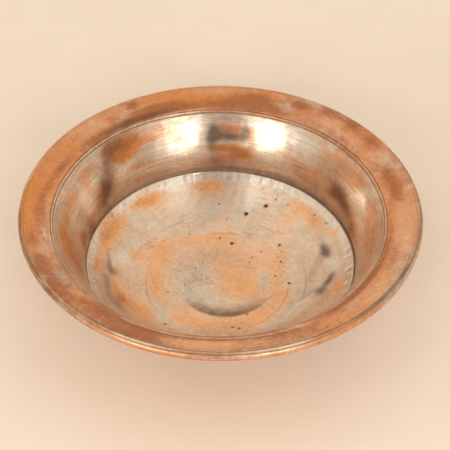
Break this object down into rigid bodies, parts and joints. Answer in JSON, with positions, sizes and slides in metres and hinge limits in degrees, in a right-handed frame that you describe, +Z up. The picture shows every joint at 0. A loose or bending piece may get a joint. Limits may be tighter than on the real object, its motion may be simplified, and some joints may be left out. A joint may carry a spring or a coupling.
{
  "type": "wide-rimmed copper basin",
  "caption": "Round hammered copper basin, tinned inside, with a wide sloping rim, an iron-cored rolled edge and a separate dished bottom seamed into the wall.",
  "frame": {"origin": "centre of the flat underside that the basin rests on", "axes": "+Z up along the basin's axis, from the resting face to the mouth"},
  "size_m": [0.38, 0.3799, 0.1078],
  "materials": {
    "copper_wall": "hammered copper sheet, brown and orange on the rim, worn tin lining inside the wall, satin",
    "tinned_floor": "hammered copper sheet with a worn grey tin lining, satin",
    "iron": "dark forged iron wire",
    "solder": "dull grey tin solder"
  },
  "bodies": {
    "root": {"wall_and_rim": "copper_wall", "floor_dish": "tinned_floor", "rim_wire": "iron", "seam_solder": "solder"}
  },
  "joints": []
}
